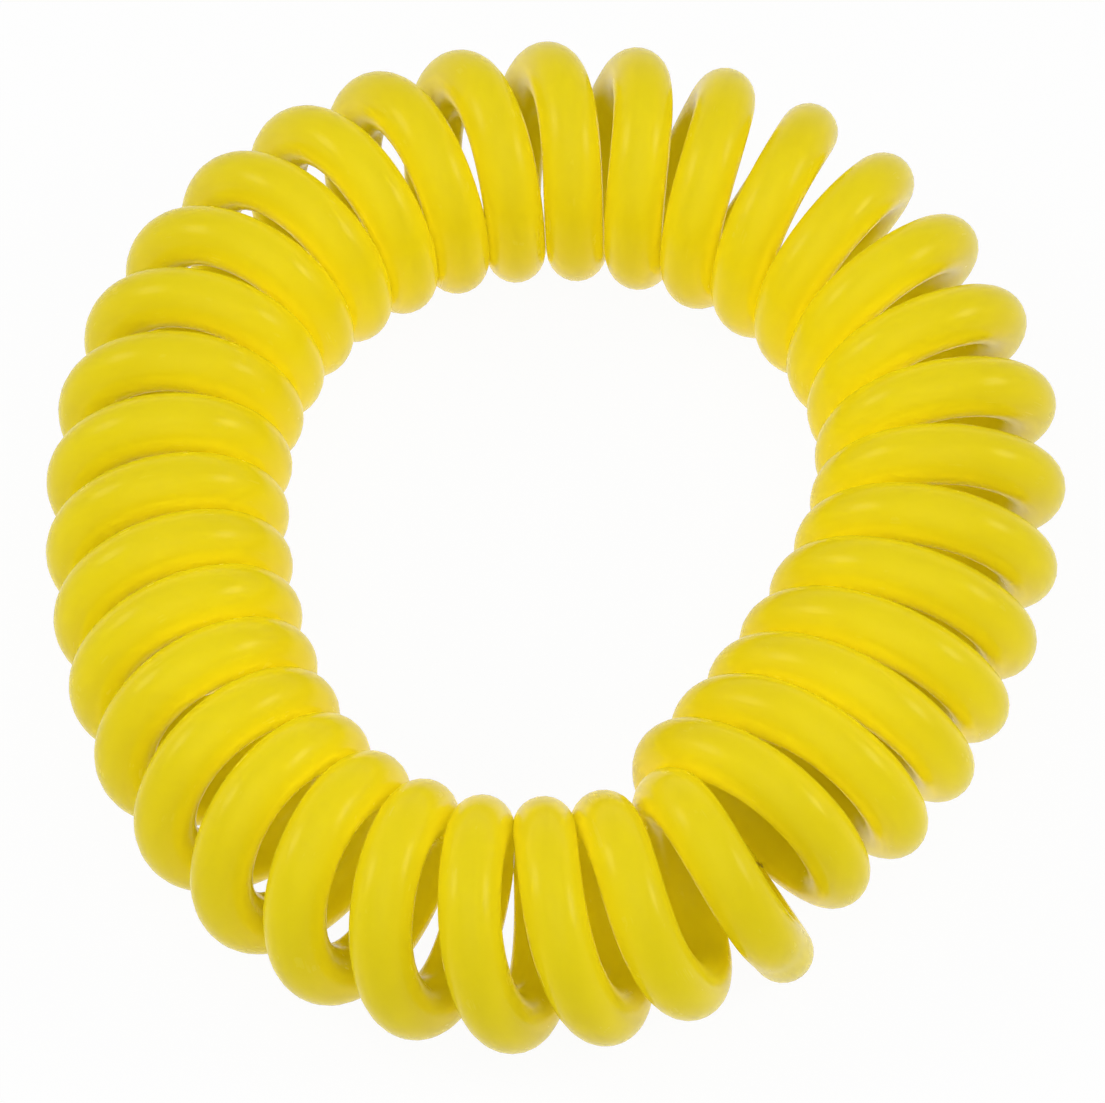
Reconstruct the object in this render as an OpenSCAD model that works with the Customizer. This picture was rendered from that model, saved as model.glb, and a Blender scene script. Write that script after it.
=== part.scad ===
// Stretch coil wristband: one springy round cord, wound into a close coil that is bent round into a
// ring. Its two ends meet in a pinned and cemented butt joint on the underside.
// Millimetres, +Z up. The ring lies on the plane z = 0, with the origin under the middle of its box.

/* [Cord] */
// Diameter of the round cord
cord_d = 4.4; // [4.0:0.1:4.5]
// Turns of the coil round the whole ring
turns = 35; // [33:1:35]

/* [Turns] */
// Width of one turn across the ring, between the middles of the cord
turn_w = 13.3; // [13.0:0.1:14.2]
// Height of one turn, between the middles of the cord
turn_h = 14; // [13.2:0.1:14.4]
// Part of a turn by which the winding is ahead at azimuth 0
turn_start = 0.16; // [0:0.01:0.5]

/* [Ring] */
// Mean radius of the ring, to the middle of the coil
ring_r = 30.5; // [30:0.1:32]
// How far the ring departs from round, in waves of one, two and three to the circle
ring_wave = [2.65, 2.65, 0.55]; // [0:0.05:3]
// Azimuth at which each of those waves stands furthest out
ring_wave_at = [65, 83, 21]; // [0:1:360]
// Depth of the dent beside the joint
dent = 1.3; // [0:0.05:2]
// Azimuth of the dent
dent_at = 335; // [325:1:345]
// Half width of the dent, in degrees
dent_span = 24.5; // [15:0.5:28]
// Extra half width of the turns near the dent
swell = 0.85; // [0:0.05:1.2]
// Azimuth at which the turns are widest
swell_at = 328; // [315:1:345]

/* [Lay of the turns] */
// Turns by which the coil is crowded or drawn out, in waves of one and two to the circle
crowd_wave = [0.385, 0.105]; // [0:0.005:0.4]
// Azimuth at which each of those waves is furthest ahead
crowd_wave_at = [343, 52]; // [0:1:360]
// The same in a wave of three to the circle
crowd_ripple = 0.04; // [0:0.005:0.2]
// Azimuth at which that wave is furthest ahead
crowd_ripple_at = 92; // [0:1:360]
// Slope at which the top of a turn leans along the ring
lean = -0.065; // [-0.12:0.005:0]
// How far that slope varies, in waves of one and two to the circle
lean_wave = [0.1, 0.05]; // [0:0.005:0.1]
// Azimuth at which each of those waves leans furthest ahead
lean_wave_at = [165, 6]; // [0:1:360]
// Slope at which the outside of a turn runs ahead of its inside
slant = -0.015; // [-0.06:0.005:0.02]
// How far that slope varies, in waves of one and two to the circle
slant_wave = [0.065, 0.055]; // [0:0.005:0.08]
// Azimuth at which the outside runs furthest ahead in each of those waves
slant_wave_at = [135, 51]; // [0:1:360]

/* [Corner at the joint] */
// Azimuth of the corner where the ends meet
joint_at = 302; // [298:0.5:305]
// Half width of the corner, in degrees
joint_span = 12.5; // [9:0.5:15]
// Push outwards at the corner
joint_ring = -1.2; // [-1.3:0.05:-0.3]
// Push outwards after the corner, and inwards before it
joint_ring_tilt = -0.45; // [-0.7:0.05:0]
// Turns moved ahead at the corner
joint_crowd = -0.1; // [-0.1:0.005:0.1]
// Turns moved ahead after the corner, and back before it
joint_crowd_tilt = 0.015; // [-0.1:0.005:0.1]
// Extra lean at the corner
joint_lean = 0.08; // [0:0.005:0.2]
// Extra lean after the corner, and less before it
joint_lean_tilt = 0.13; // [0:0.005:0.2]
// Extra slant at the corner
joint_slant = -0.065; // [-0.1:0.005:0.1]
// Extra slant after the corner, and less before it
joint_slant_tilt = 0.235; // [0:0.005:0.25]
// Extra half width of the turns at the corner
joint_swell = 0.1; // [0:0.05:1]
// Extra half width after the corner, and less before it
joint_swell_tilt = -0.55; // [-1:0.05:0]
// Half width of that change, in degrees
joint_swell_span = 6; // [6:0.5:12]

/* [Joint pieces] */
// Turn on whose underside the ends meet
joint_turn = 29; // [29:1:30]
// Diameter of the joining pin
pin_d = 1.6; // [1.2:0.1:1.8]
// Length of the joining pin
pin_len = 8; // [6:0.5:8]
// Room around and behind the pin in its socket
pin_room = 0.05; // [0.03:0.01:0.1]
// Thickness of the cement film between the ends
film_t = 0.2; // [0.1:0.05:0.3]
// Diameter of the cement film
film_d = 3.2; // [2.8:0.1:3.2]

/* [Hidden] */

// Rings of the faceted cord in one turn, and sides of each ring
rings_per_turn = 12;
sides = 6;
// Share of a regular section's width that is left between the flats, so that the turns stand clear
flat_share = 0.84;
// Depth of the flats on which the ring lies
flat_depth = cord_d / 10;
// Height of the middle of the coil when the lowest turns are cut flat at z = 0
coil_z = (turn_h + cord_d) / 2 - flat_depth;
// Step in turns, and in degrees, over which directions are measured
step_t = 0.001;
step_deg = 0.1;
cord_yellow = [0.89, 0.82, 0.11];

function unit(v) = v / norm(v);
function smooth(x) = let (c = max(0, min(1, x))) c * c * (3 - 2 * c);
// Angle from b to a, between -180 and 180 degrees
function turn_from(a, b) = (a - b + 900) % 360 - 180;
// Sum of the waves at azimuth a
function waves(size, at, a) =
    size * [for (k = [0 : len(size) - 1]) cos((k + 1) * (a - at[k]))];
// Bell from 0 to 1 around an azimuth, for s half widths away from it
function bell(s) = exp(-s * s / 2);
// Even and lopsided bump at the corner
function corner(even, tilt, a, span = joint_span) =
    let (s = turn_from(a, joint_at) / span)
    bell(s) * (even + tilt * s);

// Middle line of the coil, a closed curve round the Z axis
function ring(a) =
    ring_r + waves(ring_wave, ring_wave_at, a) + corner(joint_ring, joint_ring_tilt, a)
    - dent * bell(turn_from(a, dent_at) / dent_span);
function axis_point(a) = ring(a) * [cos(a), sin(a)];
function axis_out(a) =
    let (v = axis_point(a + step_deg) - axis_point(a - step_deg))
    [v.y, -v.x] / norm(v);

// Azimuth of the coil's middle line at turn t
function azimuth(t) =
    let (a = 360 * t / turns,
         ripple = crowd_ripple * cos(3 * (a - crowd_ripple_at)),
         ahead = waves(crowd_wave, crowd_wave_at, a) + ripple + corner(joint_crowd, joint_crowd_tilt, a))
    a + 360 / turns * ahead;

// Point of the wound cord at turn t, with the middle of its turn
function wound(t) =
    let (a = azimuth(t),
         w = 360 * (t + turn_start),
         swelling = swell * bell(turn_from(a, swell_at) / dent_span)
             + corner(joint_swell, joint_swell_tilt, a, joint_swell_span),
         out = (turn_w / 2 + swelling) * cos(w),
         up = -turn_h / 2 * sin(w),
         leaning = lean + waves(lean_wave, lean_wave_at, a) + corner(joint_lean, joint_lean_tilt, a),
         slanting = slant + waves(slant_wave, slant_wave_at, a) + corner(joint_slant, joint_slant_tilt, a),
         b = a + (leaning * up + slanting * out) / ring(a) * 180 / PI,
         hub = axis_point(b))
    [concat(hub + out * axis_out(b), coil_z + up), concat(hub, coil_z)];
function wound_point(t) = wound(t)[0];

// The joint: its middle, and the level run of the cord through it, in mm for each turn
joint_t = joint_turn + 0.25 - turn_start;
joint_mid = wound_point(joint_t);
joint_speed = (wound_point(joint_t + step_t) - wound_point(joint_t - step_t)) / (2 * step_t);
joint_run = [joint_speed.x, joint_speed.y, 0];
run_per_turn = norm(joint_run);
// Turns taken up by half the film, by one straight cord diameter, and by the bend after it
film_turn = film_t / 2 / run_per_turn;
straight_turn = film_turn + cord_d / run_per_turn;
bend_turn = 0.13;

// Point of the cord at turn t: straight through the joint, and wound everywhere else
function from_joint(t) =
    let (d = t - joint_t)
    d > turns / 2 ? d - turns : d;
function cord_point(t) =
    let (d = from_joint(t),
         p = wound_point(t),
         straight = 1 - smooth((abs(d) - straight_turn) / bend_turn))
    p + straight * (joint_mid + d * joint_run - p);
function cord_along(t) = unit(cord_point(t + step_t) - cord_point(t - step_t));

// Six-sided section of the cord at turn t, with flats facing the turns beside it and set back a little
function section(t) =
    let (p = cord_point(t),
         along = cord_along(t),
         raw = p - wound(t)[1],
         out = unit(raw - (raw * along) * along),
         side = cross(along, out))
    [for (i = [0 : sides - 1])
        p + cord_d / 2 * (cos(360 / sides * i) * out + flat_share * sin(360 / sides * i) * side)];

// Turns at which the sections stand, from one end of the cord to the other
end_turns = [film_turn, straight_turn, straight_turn + bend_turn / 2];
section_turns = concat(
    [for (d = end_turns) joint_t + d],
    [for (i = [0 : (turns - 0.5) * rings_per_turn]) joint_t + 0.25 + i / rings_per_turn],
    [for (i = [len(end_turns) - 1 : -1 : 0]) joint_t + turns - end_turns[i]]);
sections = [for (t = section_turns) section(t)];
section_count = len(sections);
points = [for (s = sections) each s];

// Middle of the ring's box, seen from above
box_mid = [for (k = [0, 1])
    (min([for (p = points) p[k]]) + max([for (p = points) p[k]])) / 2];

// Least gap of the cord to itself, between sections half a turn or more apart that stand beside each
// other: the clear width from one to the other, square to the first one's flat or on their own line
middles = [for (t = section_turns) cord_point(t)];
alongs = [for (t = section_turns) cord_along(t)];
function clear_along(u, i, j) =
    min([for (q = sections[j]) (q - middles[i]) * u]) - max([for (q = sections[i]) (q - middles[i]) * u]);
function clear_width(i, j) =
    let (d = middles[j] - middles[i],
         across = unit(d - (d * alongs[i]) * alongs[i]),
         flat = unit(sections[i][1] + sections[i][2] - sections[i][4] - sections[i][5]))
    max(clear_along(across, i, j), clear_along(flat * sign(d * flat), i, j));
function beside(i, j) =
    let (d = middles[j] - middles[i])
    norm(d) < 2 * cord_d && abs(d * alongs[i]) < cord_d / 2;
half_turn = rings_per_turn / 2;
least_gap = min([for (i = [0 : section_count - 1], j = [i + half_turn : 1 : section_count - half_turn + i])
    if (j < section_count && beside(i, j)) clear_width(i, j)]);
echo(least_gap_mm = least_gap);

// Length of the cord along its middle
length_steps = 40;
function cord_length(i) =
    norm(cord_point(joint_t + (i + 1) / length_steps) - cord_point(joint_t + i / length_steps));
lengths = [for (i = [0 : turns * length_steps - 1]) cord_length(i)];
echo(cord_length_mm = lengths * [for (i = lengths) 1]);

// The faceted cord, before it is cut flat
module cord_tube() {
    last = sides * (section_count - 1);
    walls = [for (i = [0 : section_count - 2], j = [0 : sides - 1])
        let (a = sides * i + j, b = sides * i + (j + 1) % sides)
        each [[a, a + sides, b], [a + sides, b + sides, b]]];
    first_end = [for (j = [1 : sides - 2]) [0, j, j + 1]];
    last_end = [for (j = [1 : sides - 2]) [last, last + j + 1, last + j]];
    polyhedron(points, concat(walls, first_end, last_end));
}

// Moves a child to the joint, with its Z axis along the cord
module at_joint() {
    translate(joint_mid)
        rotate([0, 90, atan2(joint_run.y, joint_run.x)])
            children();
}

// Moves the ring so that the middle of its box is over the origin
module in_place() {
    translate([-box_mid.x, -box_mid.y, 0]) children();
}

module coil_cord() {
    reach = 4 * ring_r;
    color(cord_yellow) difference() {
        in_place() cord_tube();
        translate([-reach / 2, -reach / 2, -cord_d]) cube([reach, reach, cord_d]);
        in_place() at_joint()
            cylinder(d = pin_d + 2 * pin_room, h = pin_len + 2 * pin_room, center = true, $fn = 48);
    }
}

module joining_pin() {
    chamfer = pin_d / 8;
    color("ivory") in_place() at_joint()
        rotate_extrude($fn = 48)
            polygon([[0, -pin_len / 2], [pin_d / 2 - chamfer, -pin_len / 2],
                     [pin_d / 2, chamfer - pin_len / 2], [pin_d / 2, pin_len / 2 - chamfer],
                     [pin_d / 2 - chamfer, pin_len / 2], [0, pin_len / 2]]);
}

module cement_film() {
    color("khaki") in_place() at_joint() difference() {
        cylinder(d = film_d, h = film_t, center = true, $fn = 64);
        cylinder(d = pin_d + 2 * pin_room, h = 2 * film_t, center = true, $fn = 48);
    }
}

coil_cord();
joining_pin();
cement_film();
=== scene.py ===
import math

import bpy
import numpy as np
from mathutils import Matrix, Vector


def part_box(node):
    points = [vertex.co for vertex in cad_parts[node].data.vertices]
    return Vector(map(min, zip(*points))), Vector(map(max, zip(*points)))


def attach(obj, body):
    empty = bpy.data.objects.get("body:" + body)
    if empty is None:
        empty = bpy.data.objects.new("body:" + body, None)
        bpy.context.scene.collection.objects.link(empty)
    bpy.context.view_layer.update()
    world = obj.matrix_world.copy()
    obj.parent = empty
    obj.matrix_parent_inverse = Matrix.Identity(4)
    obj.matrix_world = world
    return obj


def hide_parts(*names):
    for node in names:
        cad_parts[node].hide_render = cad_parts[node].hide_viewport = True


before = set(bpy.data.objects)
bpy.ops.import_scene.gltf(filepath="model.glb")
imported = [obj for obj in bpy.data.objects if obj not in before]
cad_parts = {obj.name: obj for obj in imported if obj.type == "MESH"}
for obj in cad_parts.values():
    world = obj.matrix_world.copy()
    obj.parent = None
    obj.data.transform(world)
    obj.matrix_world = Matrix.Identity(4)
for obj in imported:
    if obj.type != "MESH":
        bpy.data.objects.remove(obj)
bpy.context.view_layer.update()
wholeBody = "root"
mm = 0.001
print("frame:", sorted(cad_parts))


def shade(red, green, blue):
    # a screen colour, 0 to 255, as the linear colour that shaders take
    screen = np.array([red, green, blue]) / 255
    linear = np.where(screen > 0.04045, ((screen + 0.055) / 1.055) ** 2.4, screen / 12.92)
    return (*linear.tolist(), 1.0)


class Wire:
    # one shader output, with sums written as plain Python
    def __init__(self, nodes, socket):
        self.nodes = nodes
        self.socket = socket

    def out(self, name):
        return Wire(self.nodes, self.socket.node.outputs[name])

    def __add__(self, other):
        return self.nodes.maths("ADD", self, other)

    def __radd__(self, other):
        return self.nodes.maths("ADD", other, self)

    def __sub__(self, other):
        return self.nodes.maths("SUBTRACT", self, other)

    def __rsub__(self, other):
        return self.nodes.maths("SUBTRACT", other, self)

    def __mul__(self, other):
        return self.nodes.maths("MULTIPLY", self, other)

    def __rmul__(self, other):
        return self.nodes.maths("MULTIPLY", other, self)


class Nodes:
    # the node tree of a material or a world, emptied
    def __init__(self, holder):
        holder.use_nodes = True
        self.tree = holder.node_tree
        self.tree.nodes.clear()

    def node(self, kind, settings, sockets, out=0):
        made = self.tree.nodes.new(kind)
        for name, value in settings.items():
            setattr(made, name, value)
        for name, value in sockets.items():
            if isinstance(value, Wire):
                self.tree.links.new(value.socket, made.inputs[name])
            else:
                made.inputs[name].default_value = value
        return Wire(self, made.outputs[out]) if len(made.outputs) else None

    def maths(self, operation, first, second=0.0):
        return self.node("ShaderNodeMath", {"operation": operation}, {0: first, 1: second})

    def mixColour(self, factor, first, second):
        # inputs 6 and 7 and output 2 are a Mix node's colours
        return self.node("ShaderNodeMix", {"data_type": "RGBA"}, {0: factor, 6: first, 7: second}, 2)

    def noise(self, vector, scale, detail):
        return self.node("ShaderNodeTexNoise", {}, {"Vector": vector, "Scale": scale, "Detail": detail})

    def above(self, value, limits):
        # 0 below the lower limit, 1 above the upper one
        low, high = limits
        return self.node("ShaderNodeMapRange", {"interpolation_type": "SMOOTHSTEP"},
                         {"Value": value, "From Min": low, "From Max": high})

    def place(self):
        return self.node("ShaderNodeTexCoord", {}, {}).out("Object")

    def bump(self, height):
        return self.node("ShaderNodeBump", {}, {"Height": height, "Strength": 1.0, "Distance": 1.0})


def newFinish(name):
    material = bpy.data.materials.new(name)
    return material, Nodes(material)


def clearSelection():
    bpy.ops.object.select_all(action="DESELECT")


def selectOnly(piece):
    clearSelection()
    piece.select_set(True)
    bpy.context.view_layer.objects.active = piece


def getPoints(piece):
    flat = np.zeros(len(piece.data.vertices) * 3)
    piece.data.vertices.foreach_get("co", flat)
    return flat.reshape(-1, 3)


def setPoints(piece, points):
    piece.data.vertices.foreach_set("co", points.ravel())
    piece.data.update()


# The coil: millimetres, degrees and turns
coil = {
    "cord": 4.4,  # diameter of the cord
    "sink": 0.1,  # share of the cord that is pressed flat under each turn
    "turns": 35,
    "turnWidth": 13.3,  # of one turn, between the middles of the cord
    "turnHeight": 14,
    "turnStart": 0.16,
    "ringRadius": 30.5,
    "ringWave": [2.65, 2.65, 0.55],  # once, twice and three times round the ring
    "ringWaveAt": [65, 83, 21],
    "dent": 1.3,  # of the ring, beside the joint
    "dentAt": 335,
    "dentSpan": 24.5,
    "swell": 0.85,  # extra half width of the turns near the dent
    "swellAt": 328,
    "crowdWave": [0.385, 0.105, 0.04],  # where the turns stand closer together
    "crowdWaveAt": [343, 52, 92],
    "lean": -0.065,  # shift along the ring for each mm up
    "leanWave": [0.1, 0.05],
    "leanWaveAt": [165, 6],
    "slant": -0.015,  # shift along the ring for each mm outwards
    "slantWave": [0.065, 0.055],
    "slantWaveAt": [135, 51],
    "jointAt": 302,
    "jointSpan": 12.5,
    "jointRing": [-1.2, -0.45],  # near the joint: an even part and a lopsided one
    "jointCrowd": [-0.1, 0.015],
    "jointLean": [0.08, 0.13],
    "jointSlant": [-0.065, 0.235],
    "jointSwell": [0.1, -0.55],
    "jointSwellSpan": 6,
    "jointTurn": 29,
    "lapTurn": 28,  # lies across the inner end of the next turn
    "lapBefore": (0.1, -0.8),  # the inner end of the turn before it is drawn back by this
    "lapBack": (1.6, -1.9),  # its own inner end by this
    "lapOn": (-1.35, -0.95),  # the inner ends of the turns after it reach on by this
    "lapMost": 2.5,  # turns after it where they reach on most
    "lapFade": 2.8,
    "film": 0.2,  # gap between the two ends, which the cement fills
    "bendTurn": 0.13,  # over which the straight joint bends into the winding
    "ringsPerTurn": 64,
    "sides": 24,
    "groove": [(0.0, 0.955), (0.06, 0.975), (0.15, 0.993), (0.3, 1.0)],  # mm from the end, share of radius
    "nextTurn": (0.7, 1.3),  # where along the cord the next turn is looked for
    "settle": 0.1,  # rounding of the flats under the turns
    "contact": 0.01,  # half the gap that is kept where turns press together
    "smoothBelow": 40,  # edges sharper than this stay crisp
}
middleHeight = (coil["turnHeight"] + coil["cord"]) / 2 - coil["cord"] * coil["sink"]


def turnFrom(angle, start):
    return (angle - start + 180) % 360 - 180


def waves(name, angle):
    sizes = coil[name + "Wave"]
    places = coil[name + "WaveAt"]
    return sum(size * np.cos(np.radians((k + 1) * (angle - at)))
               for k, (size, at) in enumerate(zip(sizes, places)))


def bell(s):
    return np.exp(-s * s / 2)


def corner(name, angle, span="jointSpan"):
    s = turnFrom(angle, coil["jointAt"]) / coil[span]
    even, lopsided = coil["joint" + name]
    return bell(s) * (even + lopsided * s)


def ringAt(angle):
    dent = coil["dent"] * bell(turnFrom(angle, coil["dentAt"]) / coil["dentSpan"])
    return coil["ringRadius"] + waves("ring", angle) + corner("Ring", angle) - dent


def axisPoint(angle):
    turned = np.radians(angle)
    return ringAt(angle)[:, None] * np.stack([np.cos(turned), np.sin(turned)], -1)


def axisOut(angle):
    near = 0.1  # degrees to each side
    step = axisPoint(angle + near) - axisPoint(angle - near)
    out = np.stack([step[:, 1], -step[:, 0]], -1)
    return out / np.linalg.norm(out, axis=1, keepdims=True)


def woundPoint(turn):
    # the wound cord's middle, in the ring's own frame
    even = 360 * turn / coil["turns"]
    angle = even + 360 / coil["turns"] * (waves("crowd", even) + corner("Crowd", even))
    winding = 2 * math.pi * (turn + coil["turnStart"])
    swell = coil["swell"] * bell(turnFrom(angle, coil["swellAt"]) / coil["dentSpan"])
    halfWidth = coil["turnWidth"] / 2 + swell + corner("Swell", angle, "jointSwellSpan")
    out = halfWidth * np.cos(winding)
    up = -coil["turnHeight"] / 2 * np.sin(winding)
    lean = coil["lean"] + waves("lean", angle) + corner("Lean", angle)
    slant = coil["slant"] + waves("slant", angle) + corner("Slant", angle)
    shifted = angle + np.degrees((lean * up + slant * out) / ringAt(angle))
    flat = axisPoint(shifted) + out[:, None] * axisOut(shifted)
    return np.column_stack([flat, middleHeight + up])


# The joint lies a quarter turn past the outside of its turn, on the underside
jointTurn = coil["jointTurn"] + 0.25 - coil["turnStart"]
nudge = 0.001  # turns to each side
jointNear = woundPoint(jointTurn + np.array([-nudge, 0, nudge]))
jointRun = (jointNear[2] - jointNear[0]) / (2 * nudge)
jointRun[2] = 0
runPerTurn = np.linalg.norm(jointRun)
filmTurn = coil["film"] / 2 / runPerTurn
straightTurn = filmTurn + coil["cord"] / runPerTurn

# The ring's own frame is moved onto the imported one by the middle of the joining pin
pinLow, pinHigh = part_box("joining_pin")
jointMiddle = np.array((pinLow + pinHigh) / 2) / mm
intoFrame = jointMiddle - jointNear[1]


def lap(turn):
    # beside the joint the soft turns have slipped over each other at their inner ends
    wound = turn + coil["turnStart"]
    inner = ((1 - np.cos(2 * math.pi * wound)) / 2) ** 2  # 1 at a turn's inner end, 0 at its outer end
    after = (np.floor(wound) - coil["lapTurn"]) % coil["turns"]
    slip = bell((after - coil["lapMost"]) / coil["lapFade"])[:, None] * np.array(coil["lapOn"])
    slip[after == 0] = coil["lapBack"]
    slip[after == coil["turns"] - 1] = coil["lapBefore"]
    return np.column_stack([slip * inner[:, None], np.zeros(len(turn))])


def cordPoint(turn):
    # straight through the joint, wound everywhere else
    fromJoint = (turn - jointTurn + coil["turns"] / 2) % coil["turns"] - coil["turns"] / 2
    ease = np.clip((np.abs(fromJoint) - straightTurn) / coil["bendTurn"], 0, 1)
    straight = 1 - ease * ease * (3 - 2 * ease)
    wound = woundPoint(turn) + lap(turn)
    level = jointNear[1] + fromJoint[:, None] * jointRun
    return wound + straight[:, None] * (level - wound) + intoFrame


def settle(points):
    # what would lie below the surface is pressed up to it, with a soft edge
    soft = coil["settle"] * mm
    points[:, 2] = (points[:, 2] + np.sqrt(points[:, 2] ** 2 + soft ** 2)) / 2
    return points


def pressTogether(points, middles):
    # where two turns touch, each is flattened at the plane between them
    rings = len(middles)
    sides = len(points) // rings
    first, last = [int(share * coil["ringsPerTurn"]) for share in coil["nextTurn"]]
    for direction in (1, -1):
        nearest = np.full(rings, np.inf)
        toward = np.zeros((rings, 3))
        for step in range(first, last):
            reach = np.roll(middles, -direction * step, axis=0) - middles
            apart = np.linalg.norm(reach, axis=1)
            closer = apart < nearest
            nearest[closer] = apart[closer]
            toward[closer] = reach[closer] / apart[closer, None]
        limit = nearest / 2 - coil["contact"] * mm
        around = points.reshape(rings, sides, 3)
        depth = np.einsum("rsk,rk->rs", around - middles[:, None], toward) - limit[:, None]
        around -= np.maximum(depth, 0)[:, :, None] * toward[:, None]
    return points


def makeCoil():
    groove = coil["groove"]
    ends = [filmTurn + away / runPerTurn for away, share in groove]
    count = coil["turns"] * coil["ringsPerTurn"]
    between = np.linspace(ends[-1], coil["turns"] - ends[-1], count)
    turn = jointTurn + np.concatenate([ends[:-1], between, [coil["turns"] - e for e in ends[-2::-1]]])
    shares = np.ones(len(turn))
    for k, (away, share) in enumerate(groove):
        shares[k] = share
        shares[-1 - k] = share
    middles = cordPoint(turn) * mm
    curve = bpy.data.curves.new("coil", "CURVE")
    curve.dimensions = "3D"
    curve.bevel_depth = coil["cord"] / 2 * mm
    curve.bevel_resolution = coil["sides"] // 2 - 2
    spline = curve.splines.new("POLY")
    spline.points.add(len(middles) - 1)
    spline.points.foreach_set("co", np.column_stack([middles, np.ones(len(middles))]).ravel())
    spline.points.foreach_set("radius", shares)
    piece = bpy.data.objects.new("coiled_cord", curve)
    bpy.context.scene.collection.objects.link(piece)
    selectOnly(piece)
    bpy.ops.object.convert(target="MESH")
    points = pressTogether(getPoints(piece), middles)
    setPoints(piece, settle(points))
    bpy.ops.object.mode_set(mode="EDIT")
    bpy.ops.mesh.select_all(action="SELECT")
    bpy.ops.mesh.fill_holes(sides=0)
    bpy.ops.mesh.normals_make_consistent(inside=False)
    bpy.ops.object.mode_set(mode="OBJECT")
    bpy.ops.object.shade_smooth_by_angle(angle=math.radians(coil["smoothBelow"]))
    length = np.linalg.norm(np.diff(middles, axis=0), axis=1).sum()
    print("coil: cord", round(length, 3), "m long,", len(piece.data.polygons), "faces")
    return piece, length


# The bead of hardened cement in the groove between the ends: millimetres
bead = {
    "sides": 48,
    "section": [(0.86, -0.1), (2.09, -0.1), (2.16, -0.2), (2.22, -0.16), (2.24, 0.0),
                (2.22, 0.16), (2.16, 0.2), (2.09, 0.1), (0.86, 0.1)],  # radius, place along the cord
    "lump": 0.01,
    "lumps": [3, 7],  # waves round the bead
    "rounding": 1,  # levels of subdivision
}


def makeBead():
    section = bead["section"]
    startRadius, startPlace = section[0]
    clearSelection()
    bpy.ops.mesh.primitive_circle_add(vertices=bead["sides"], radius=startRadius * mm,
                                      location=(0, 0, startPlace * mm))
    piece = bpy.context.object
    piece.name = "cement_bead"
    bpy.ops.object.transform_apply(location=True)
    bpy.ops.object.mode_set(mode="EDIT")
    bpy.ops.mesh.select_all(action="SELECT")
    for (radius, place), (nextRadius, nextPlace) in zip(section, section[1:]):
        bpy.ops.mesh.extrude_region_move(TRANSFORM_OT_translate={"value": (0, 0, (nextPlace - place) * mm)})
        grow = nextRadius / radius
        bpy.ops.transform.resize(value=(grow, grow, 1))
    bpy.ops.mesh.select_non_manifold(extend=False)
    bpy.ops.mesh.bridge_edge_loops()
    bpy.ops.mesh.select_all(action="SELECT")
    bpy.ops.mesh.normals_make_consistent(inside=False)
    bpy.ops.object.mode_set(mode="OBJECT")
    points = getPoints(piece)
    turned = np.arctan2(points[:, 1], points[:, 0])
    reach = np.hypot(points[:, 0], points[:, 1])
    rim = section[2][0]
    outer = reach > rim * mm
    wobble = sum(np.sin(count * turned + count) for count in bead["lumps"])
    points[outer, :2] *= (1 + bead["lump"] * mm * wobble / reach)[outer, None]
    setPoints(piece, points)
    selectOnly(piece)
    bpy.ops.object.modifier_add(type="SUBSURF")
    rounding = piece.modifiers[0]
    rounding.levels = bead["rounding"]
    rounding.render_levels = bead["rounding"]
    bpy.ops.object.modifier_apply(modifier=rounding.name)
    piece.rotation_euler = Vector(jointRun).to_track_quat("Z", "Y").to_euler()
    piece.location = Vector(jointMiddle) * mm
    bpy.ops.object.transform_apply(location=True, rotation=True)
    setPoints(piece, settle(getPoints(piece)))
    bpy.ops.object.shade_smooth()
    print("bead:", len(piece.data.polygons), "faces")
    return piece


# Satin polyurethane of the cord
cordFinish = {
    "colour": shade(233, 214, 22),
    "warmer": shade(231, 211, 23),
    "mottlePerMm": 0.11,  # patches of the warmer colour
    "mottleLimits": (0.3, 0.7),
    "mottleRough": 0.05,
    "scuff": shade(233, 218, 66),
    "scuffShare": 0.25,
    "scuffPerMm": 0.5,
    "scuffLimits": (0.62, 0.72),
    "scuffOnLines": (0.5, 0.62),
    "scuffRough": 0.1,
    "roughness": 0.25,
    "gloss": 0.16,
    "glossTint": (1.0, 0.92, 0.4, 1.0),
    "glowShare": 0.7,
    "glow": (10.0, 10.0, 7.0),  # mm that red, green and blue light travel in the cord
    "lineStretch": 0.02,  # extrusion lines, along against around
    "linesPerMm": 4.0,
    "lineDepth": 0.0015,
    "lineRough": 0.06,
    "grainPerMm": 9.0,
    "grainDepth": 0.001,
}


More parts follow.
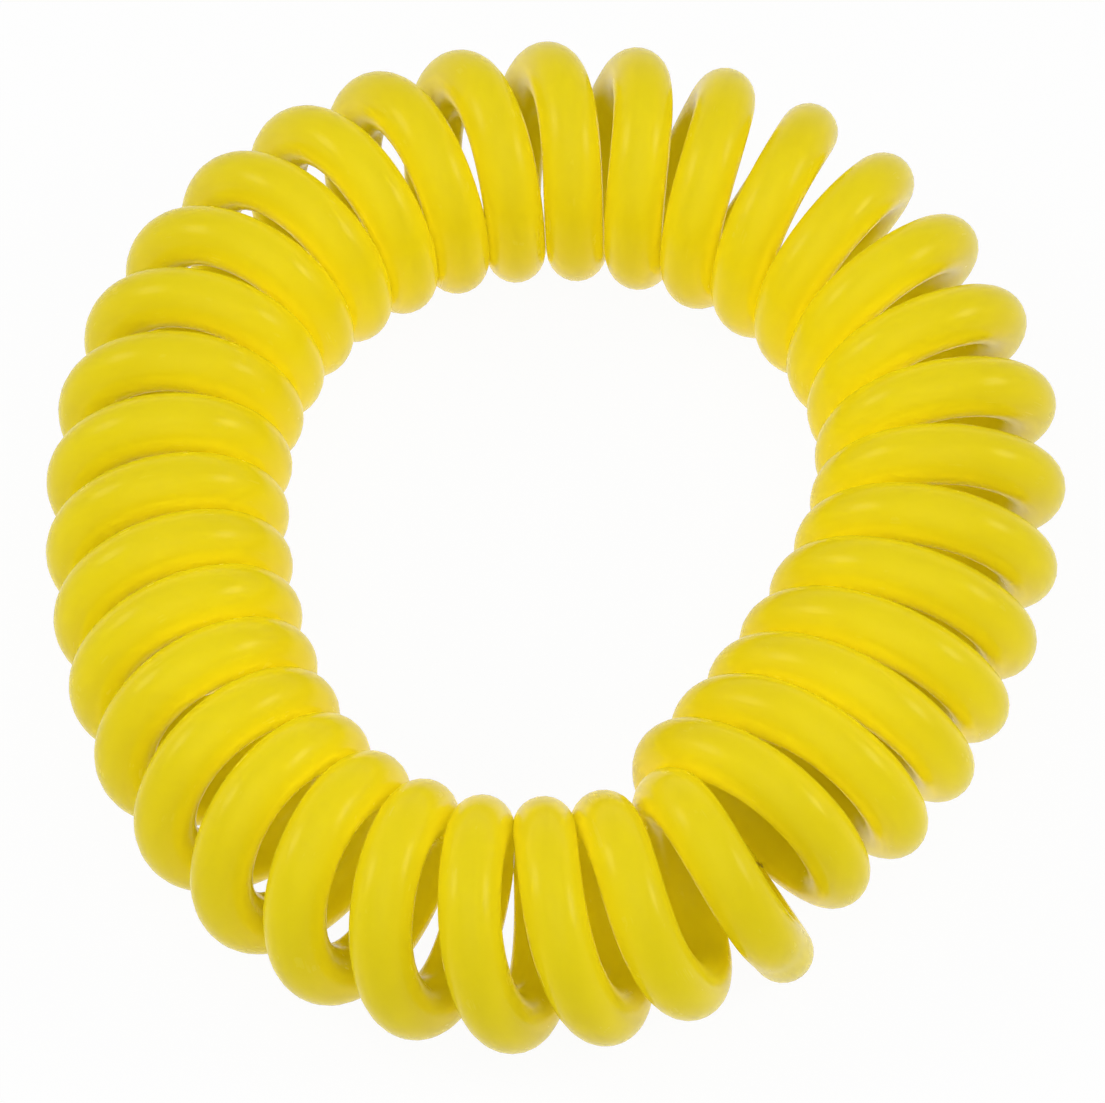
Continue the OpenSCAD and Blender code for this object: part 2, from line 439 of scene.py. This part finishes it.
def makeCordFinish(length):
    material, n = newFinish("satin_yellow_cord")
    uv = n.node("ShaderNodeUVMap", {"uv_map": "UVMap"}, {})
    split = n.node("ShaderNodeSeparateXYZ", {}, {0: uv})
    along = split.out("X") * (length / mm)
    around = split.out("Y") * (2 * math.pi)
    radius = coil["cord"] / 2
    skin = n.node("ShaderNodeCombineXYZ", {}, {
        "X": n.maths("COSINE", around) * radius,
        "Y": n.maths("SINE", around) * radius,
        "Z": along * cordFinish["lineStretch"]})
    place = n.place()
    lines = n.noise(skin, cordFinish["linesPerMm"], 2.0)
    grain = n.noise(place, cordFinish["grainPerMm"] / mm, 3.0)
    mottle = n.noise(place, cordFinish["mottlePerMm"] / mm, 2.0)
    rubbed = n.noise(place, cordFinish["scuffPerMm"] / mm, 6.0)
    scuff = n.above(rubbed, cordFinish["scuffLimits"]) * n.above(lines, cordFinish["scuffOnLines"])
    warm = n.above(mottle, cordFinish["mottleLimits"])
    tint = n.mixColour(warm, cordFinish["colour"], cordFinish["warmer"])
    colour = n.mixColour(scuff * cordFinish["scuffShare"], tint, cordFinish["scuff"])
    uneven = cordFinish["mottleRough"] * (mottle - 0.5) + cordFinish["lineRough"] * (lines - 0.5)
    rough = cordFinish["roughness"] + uneven + cordFinish["scuffRough"] * scuff
    height = lines * (cordFinish["lineDepth"] * mm) + grain * (cordFinish["grainDepth"] * mm)
    shader = n.node("ShaderNodeBsdfPrincipled", {"subsurface_method": "BURLEY"}, {
        "Base Color": colour, "Roughness": rough, "Normal": n.bump(height),
        "Specular IOR Level": cordFinish["gloss"], "Specular Tint": cordFinish["glossTint"],
        "Subsurface Weight": cordFinish["glowShare"], "Subsurface Radius": cordFinish["glow"],
        "Subsurface Scale": mm})
    n.node("ShaderNodeOutputMaterial", {}, {"Surface": shader})
    return material


# Cement: clear, tinted by the cord
cementFinish = {
    "colour": shade(226, 206, 50),
    "cloudy": shade(226, 208, 100),
    "cloudPerMm": 0.9,
    "cloudLimits": (0.4, 0.65),
    "cloudRough": 0.15,
    "roughness": 0.2,
    "ripplePerMm": 2.0,
    "rippleDepth": 0.02,
}


def makeCementFinish():
    material, n = newFinish("hardened_cement")
    place = n.place()
    cloud = n.noise(place, cementFinish["cloudPerMm"] / mm, 4.0)
    cloudy = n.above(cloud, cementFinish["cloudLimits"])
    colour = n.mixColour(cloudy, cementFinish["colour"], cementFinish["cloudy"])
    rough = cementFinish["roughness"] + cementFinish["cloudRough"] * cloud
    ripple = n.noise(place, cementFinish["ripplePerMm"] / mm, 2.0) * (cementFinish["rippleDepth"] * mm)
    shader = n.node("ShaderNodeBsdfPrincipled", {}, {
        "Base Color": colour, "Roughness": rough, "Normal": n.bump(ripple)})
    n.node("ShaderNodeOutputMaterial", {}, {"Surface": shader})
    return material


# Nylon rod of the joining pin
pinFinish = {
    "colour": shade(238, 234, 220),
    "worn": shade(220, 214, 196),
    "streaksPerMm": (0.2, 4, 4),  # along the rod and across it
    "streakLimits": (0.4, 0.7),
    "streakRough": 0.1,
    "streakDepth": 0.006,
    "roughness": 0.42,
}


def makePinFinish():
    material, n = newFinish("nylon_rod")
    turned = n.node("ShaderNodeMapping", {}, {
        "Vector": n.place(), "Rotation": (0, 0, -math.atan2(jointRun[1], jointRun[0])),
        "Scale": [count / mm for count in pinFinish["streaksPerMm"]]})
    streak = n.noise(turned, 1.0, 3.0)
    worn = n.above(streak, pinFinish["streakLimits"])
    colour = n.mixColour(worn, pinFinish["colour"], pinFinish["worn"])
    rough = pinFinish["roughness"] + pinFinish["streakRough"] * streak
    height = streak * (pinFinish["streakDepth"] * mm)
    shader = n.node("ShaderNodeBsdfPrincipled", {}, {
        "Base Color": colour, "Roughness": rough, "Normal": n.bump(height)})
    n.node("ShaderNodeOutputMaterial", {}, {"Surface": shader})
    return material


# The camera of the photograph: 1105 pixels wide
camera = {
    "elevation": 56.9,
    "roll": -0.55,
    "distance": 497.1,  # mm, to the aim
    "aim": (1.2, 0.05),  # mm, in the ring's own frame, at the middle of the coil
    "focalPixels": 6880,
    "framePixels": 1105,
    "sensor": 36.0,
    "nearest": 0.01,  # metres that the camera sees from and to
    "furthest": 20,
}


def makeCamera():
    data = bpy.data.cameras.new("camera")
    data.sensor_width = camera["sensor"]
    data.lens = camera["sensor"] * camera["focalPixels"] / camera["framePixels"]
    data.clip_start = camera["nearest"]
    data.clip_end = camera["furthest"]
    eye = bpy.data.objects.new("camera", data)
    bpy.context.scene.collection.objects.link(eye)
    up = math.radians(camera["elevation"])
    turned = math.radians(camera["roll"])
    back = Vector((-math.cos(up) * math.sin(turned), -math.cos(up) * math.cos(turned), math.sin(up)))
    aim = Vector((*camera["aim"], middleHeight)) + Vector((intoFrame[0], intoFrame[1], 0))
    eye.location = (aim + back * camera["distance"]) * mm
    eye.rotation_mode = "QUATERNION"
    eye.rotation_quaternion = (-back).to_track_quat("-Z", "Y")
    bpy.context.scene.camera = eye
    print("camera: lens", round(data.lens, 1))


# White table and soft studio light: metres
studio = {
    "floor": 3.0,
    "floorColour": (0.95, 0.95, 0.95, 1.0),
    "floorWhite": 0.95,  # share of plain white that the camera sees on the floor
    "floorGlow": 0.48,  # share of plain light that the floor gives off, as a lit table
    "world": 0.25,
    "lamps": {  # azimuth from the right, elevation, distance, width, length, watts
        "left_softbox": (172, 36, 0.7, 0.26, 0.26, 1.25),
        "right_softbox": (1, 32, 0.7, 0.24, 0.2, 1.25),
        "front_softbox": (270, 55, 0.9, 0.9, 0.9, 1.75),
        "top_softbox": (0, 90, 0.9, 1.2, 1.2, 2.15),
    },
}
white = (1.0, 1.0, 1.0, 1.0)


def seenDirectly(n):
    # 1 for what the camera sees straight, in gloss or through glass
    light = n.node("ShaderNodeLightPath", {}, {})
    mirrored = n.maths("MAXIMUM", light.out("Is Glossy Ray"), light.out("Is Transmission Ray"))
    return n.maths("MAXIMUM", light.out("Is Camera Ray"), mirrored)


def makeFloor():
    clearSelection()
    bpy.ops.mesh.primitive_plane_add(size=studio["floor"])
    floor = bpy.context.object
    floor.name = "floor"
    material, n = newFinish("white_table")
    plain = n.node("ShaderNodeBsdfDiffuse", {}, {"Color": studio["floorColour"]})
    bright = n.node("ShaderNodeEmission", {}, {"Color": white, "Strength": 1.0})
    share = studio["floorGlow"] + seenDirectly(n) * (studio["floorWhite"] - studio["floorGlow"])
    both = n.node("ShaderNodeMixShader", {}, {0: share, 1: plain, 2: bright})
    n.node("ShaderNodeOutputMaterial", {}, {"Surface": both})
    floor.data.materials.append(material)
    print("floor:", studio["floor"], "m wide")


def makeLight():
    world = bpy.data.worlds.new("soft_white")
    bpy.context.scene.world = world
    n = Nodes(world)
    seen = seenDirectly(n)
    strength = seen + (1 - seen) * studio["world"]
    air = n.node("ShaderNodeBackground", {}, {"Color": white, "Strength": strength})
    n.node("ShaderNodeOutputWorld", {}, {"Surface": air})
    for name, (azimuth, elevation, away, width, length, watts) in studio["lamps"].items():
        data = bpy.data.lights.new(name, "AREA")
        data.shape = "RECTANGLE"
        data.size = width
        data.size_y = length
        data.energy = watts
        lamp = bpy.data.objects.new(name, data)
        bpy.context.scene.collection.objects.link(lamp)
        side = math.radians(azimuth)
        rise = math.radians(elevation)
        way = Vector((math.cos(side) * math.cos(rise), math.sin(side) * math.cos(rise), math.sin(rise)))
        lamp.location = way * away
        lamp.rotation_mode = "QUATERNION"
        lamp.rotation_quaternion = (-way).to_track_quat("-Z", "Y")
    print("light:", len(studio["lamps"]), "lamps")


makeCamera()
cordPiece, cordLength = makeCoil()
cordPiece.data.materials.append(makeCordFinish(cordLength))
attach(cordPiece, wholeBody)
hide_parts("coil_cord")

beadPiece = makeBead()
beadPiece.data.materials.append(makeCementFinish())
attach(beadPiece, wholeBody)
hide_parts("cement_film")

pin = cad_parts["joining_pin"]
pin.data.materials.clear()
pin.data.materials.append(makePinFinish())
print("pin: the solid, with a nylon finish")

makeFloor()
makeLight()
bpy.context.scene.view_settings.view_transform = "Standard"
